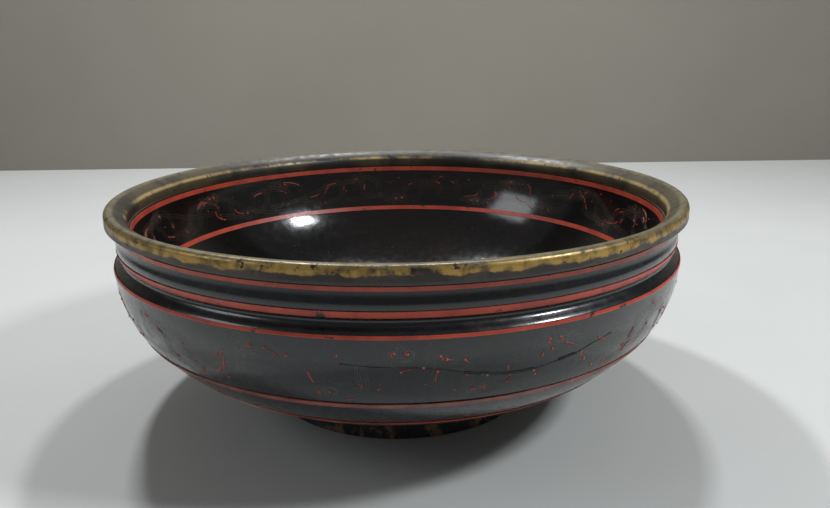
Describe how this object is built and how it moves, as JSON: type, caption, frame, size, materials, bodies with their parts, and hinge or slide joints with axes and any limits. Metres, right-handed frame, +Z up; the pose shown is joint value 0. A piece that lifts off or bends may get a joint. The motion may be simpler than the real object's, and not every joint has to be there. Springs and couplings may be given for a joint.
{
  "type": "engraved lacquer bowl",
  "caption": "Round black lacquer bowl of the Han kind with a gilt bronze rim band, red lines and bands of incised cloud scroll on a low foot.",
  "frame": {"origin": "centre of the foot's bottom face, on the surface that the bowl stands on", "axes": "+Z up along the bowl's axis of turning, X and Y level"},
  "size_m": [0.24, 0.24, 0.09],
  "materials": {
    "wood": "turned, dry, aged brown",
    "ground": "matt grey-brown ash ground",
    "lacquer": "polished black lacquer",
    "red": "satin vermilion lacquer",
    "gilt": "worn gilding on dark bronze"
  },
  "bodies": {
    "root": {"wood_core": "wood", "ground_outside": "ground", "lacquer_outside": "lacquer", "ground_inside": "ground", "lacquer_inside": "lacquer", "rim_band": "gilt", "red_line_under_band": "red", "red_line_on_ridge": "red", "red_line_on_shoulder": "red", "red_line_on_body": "red", "red_line_low_on_body": "red", "red_line_inside_upper": "red", "red_line_inside_lower": "red", "lacquer_underside": "lacquer"}
  },
  "joints": []
}
